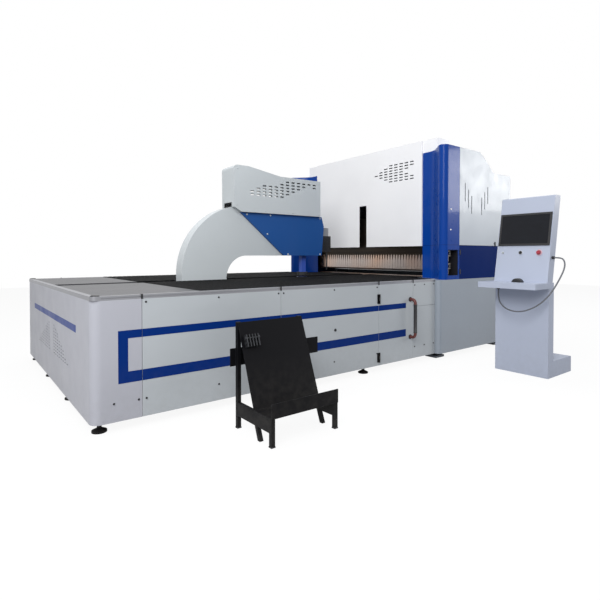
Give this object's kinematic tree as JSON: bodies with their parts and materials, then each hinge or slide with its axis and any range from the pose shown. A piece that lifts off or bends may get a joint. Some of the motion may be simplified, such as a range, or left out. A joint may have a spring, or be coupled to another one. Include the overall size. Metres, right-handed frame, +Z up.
{
  "type": "automatic bending machine",
  "caption": "Automatic sheet-metal bending machine: a bender with clamp tools and swinging blades, a brush feed table with a travelling clamp arm, a control console and a part stand.",
  "frame": {"origin": "centre of the bender's four floor anchor holes, on the floor", "axes": "+X is the feed direction from the table into the bender, -Y the operator's side, +Z up"},
  "size_m": [5.27, 4.294, 2.645],
  "materials": {
    "white_paint": "satin powder coat",
    "blue_paint": "gloss powder coat",
    "frame_paint": "matt paint",
    "console_paint": "satin powder coat",
    "black_paint": "satin paint",
    "aluminium": "brushed",
    "bare_steel": "ground",
    "brush_black": "dense bristles",
    "pad_rubber": "matt",
    "screen_black": "gloss",
    "control_red": "gloss",
    "control_black": "matt",
    "lamp_green": "gloss"
  },
  "bodies": {
    "machine": {"table_beams": "frame_paint", "table_cross_tubes": "frame_paint", "table_posts": "frame_paint", "table_feet": "black_paint", "table_end_cover": "white_paint", "table_panels": "white_paint", "top_rails": "aluminium", "steel_top_plates": "bare_steel", "brush_tables": "brush_black", "guide_rails": "bare_steel", "gear_rack": "bare_steel", "door_hinges": "black_paint", "base_frame": "frame_paint", "side_frames": "frame_paint", "crown_beam": "frame_paint", "lower_beam": "frame_paint", "lower_tool": "bare_steel", "lift_cylinders": "bare_steel", "front_cover": "white_paint", "corner_columns": "blue_paint", "side_panels": "white_paint", "side_bands": "blue_paint", "base_panels": "white_paint", "rear_covers": "white_paint", "roof_cover": "white_paint", "air_units": "aluminium", "console_stand": "console_paint", "console_head": "console_paint", "console_shelf": "console_paint", "monitor": "screen_black", "pilot_lamp": "lamp_green", "cable_glands": "pad_rubber", "console_cable": "pad_rubber", "mouse": "control_black", "stand_frame": "black_paint", "stand_sheet": "black_paint", "clamp_block": "aluminium"},
    "manipulator": {"carriage_plate": "frame_paint", "bearing_blocks": "bare_steel", "c_arm": "white_paint", "head_hood": "white_paint", "arm_covers": "blue_paint", "press_cylinder": "bare_steel", "turn_motor": "black_paint", "drive_motor": "black_paint", "turntable_housing": "bare_steel"},
    "press": {"press_ram": "blue_paint"},
    "pad": {"press_pad": "pad_rubber"},
    "rotor": {"turntable": "bare_steel"},
    "pinion": {"drive_pinion": "bare_steel"},
    "press_beam": {"upper_beam": "frame_paint", "tool_strip": "bare_steel", "upper_tools": "bare_steel"},
    "blade_slide": {"blade_carriage": "frame_paint"},
    "blade_lift": {"blade_frame": "frame_paint", "bend_blades": "bare_steel"},
    "door": {"side_door": "white_paint", "door_fittings": "black_paint"},
    "stop_button": {"estop_button": "control_red"},
    "selector": {"selector_knob": "control_black"}
  },
  "joints": [
    {"name": "arm_travel", "type": "slide", "parent": "machine", "child": "manipulator", "axis": [1, 0, 0], "range_m": [-0.9, 0.71]},
    {"name": "pinion_turn", "type": "hinge", "parent": "manipulator", "child": "pinion", "pos_m": [-2.723, -0.1405, 0.3], "axis": [0, 0, 1], "range_deg": [-585, 740]},
    {"name": "clamp_press", "type": "slide", "parent": "manipulator", "child": "press", "axis": [0, 0, 1], "range_m": [-0.012, 0.15]},
    {"name": "pad_turn", "type": "hinge", "parent": "press", "child": "pad", "pos_m": [-1.593, 0, 0.95], "axis": [0, 0, 1], "continuous": true},
    {"name": "rotor_turn", "type": "hinge", "parent": "manipulator", "child": "rotor", "pos_m": [-1.593, 0, 0.92], "axis": [0, 0, 1], "continuous": true},
    {"name": "beam_press", "type": "slide", "parent": "machine", "child": "press_beam", "axis": [0, 0, 1], "range_m": [-0.055, 0.12]},
    {"name": "blade_reach", "type": "slide", "parent": "machine", "child": "blade_slide", "axis": [1, 0, 0], "range_m": [-0.02, 0.03]},
    {"name": "blade_stroke", "type": "slide", "parent": "blade_slide", "child": "blade_lift", "axis": [0, 0, 1], "range_m": [-0.08, 0.08]},
    {"name": "door_swing", "type": "hinge", "parent": "machine", "child": "door", "pos_m": [-1.7295, -1.4623, 0.485], "axis": [0, 0, -1], "range_deg": [0, 100]},
    {"name": "stop_push", "type": "slide", "parent": "machine", "child": "stop_button", "axis": [0.9833, 0, -0.1819], "range_m": [0, 0.005], "stiffness_N_per_m": 800},
    {"name": "selector_turn", "type": "hinge", "parent": "machine", "child": "selector", "pos_m": [-0.60043, -2.345, 1.23], "axis": [-0.9833, 0, 0.1819], "range_deg": [-45, 45]}
  ],
  "couplings": [
    {"joint": "pinion_turn", "follows": "arm_travel", "rad_per_m": -14.286},
    {"joint": "rotor_turn", "follows": "pad_turn", "ratio": 1}
  ]
}
